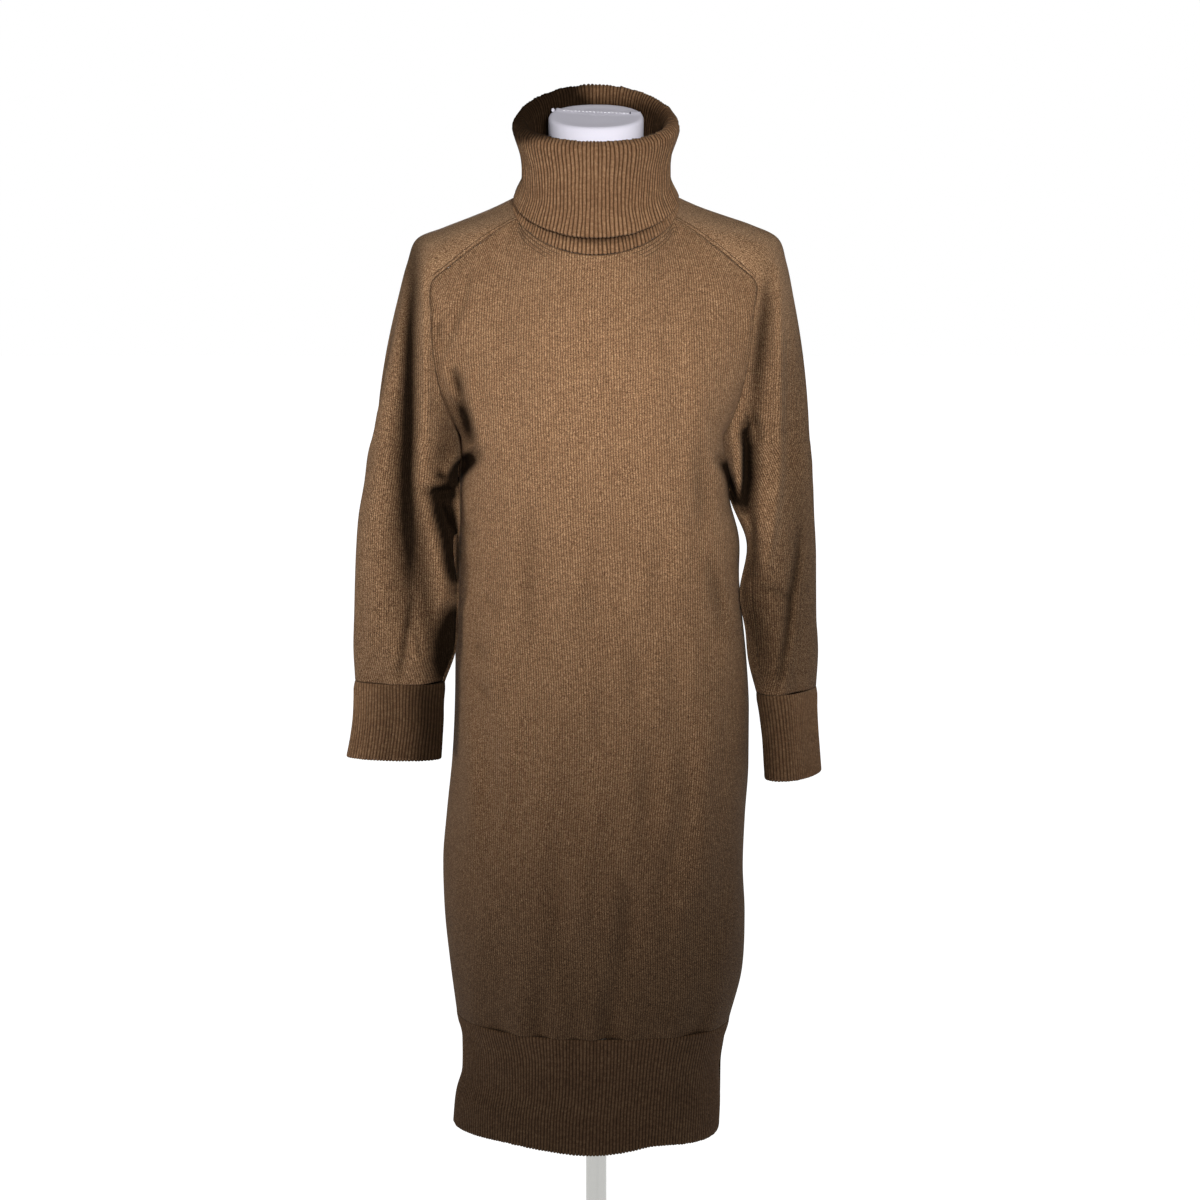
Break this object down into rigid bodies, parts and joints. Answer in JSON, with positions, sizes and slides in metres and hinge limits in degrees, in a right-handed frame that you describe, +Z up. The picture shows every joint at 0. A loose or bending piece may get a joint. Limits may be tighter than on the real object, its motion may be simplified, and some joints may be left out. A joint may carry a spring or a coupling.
{
  "type": "sweater dress on a dress form",
  "caption": "Long-sleeved knitted midi dress with a folded roll collar and ribbed hem and cuffs, worn on a limbless dress form with a pole stand.",
  "frame": {"origin": "centre of the underside of the stand's base, which rests on the floor", "axes": "+Z up along the pole, -Y towards the front of the dress, +X towards the sleeve on the right as seen from the front"},
  "size_m": [0.5577, 0.4, 1.5715],
  "materials": {
    "knit": "soft marled plain knit, matt",
    "rib": "soft marled rib knit, matt",
    "form_cover": "smooth stretched jersey cover, matt",
    "pole": "satin",
    "base": "satin paint"
  },
  "bodies": {
    "root": {"front": "knit", "back": "knit", "sleeve_left": "knit", "sleeve_right": "knit", "hem_rib_front": "rib", "hem_rib_back": "rib", "cuff_left": "rib", "cuff_right": "rib", "collar": "rib", "form_torso": "form_cover", "form_neck_cap": "form_cover", "stand_pole": "pole", "stand_socket": "base", "stand_base": "base"}
  },
  "joints": []
}
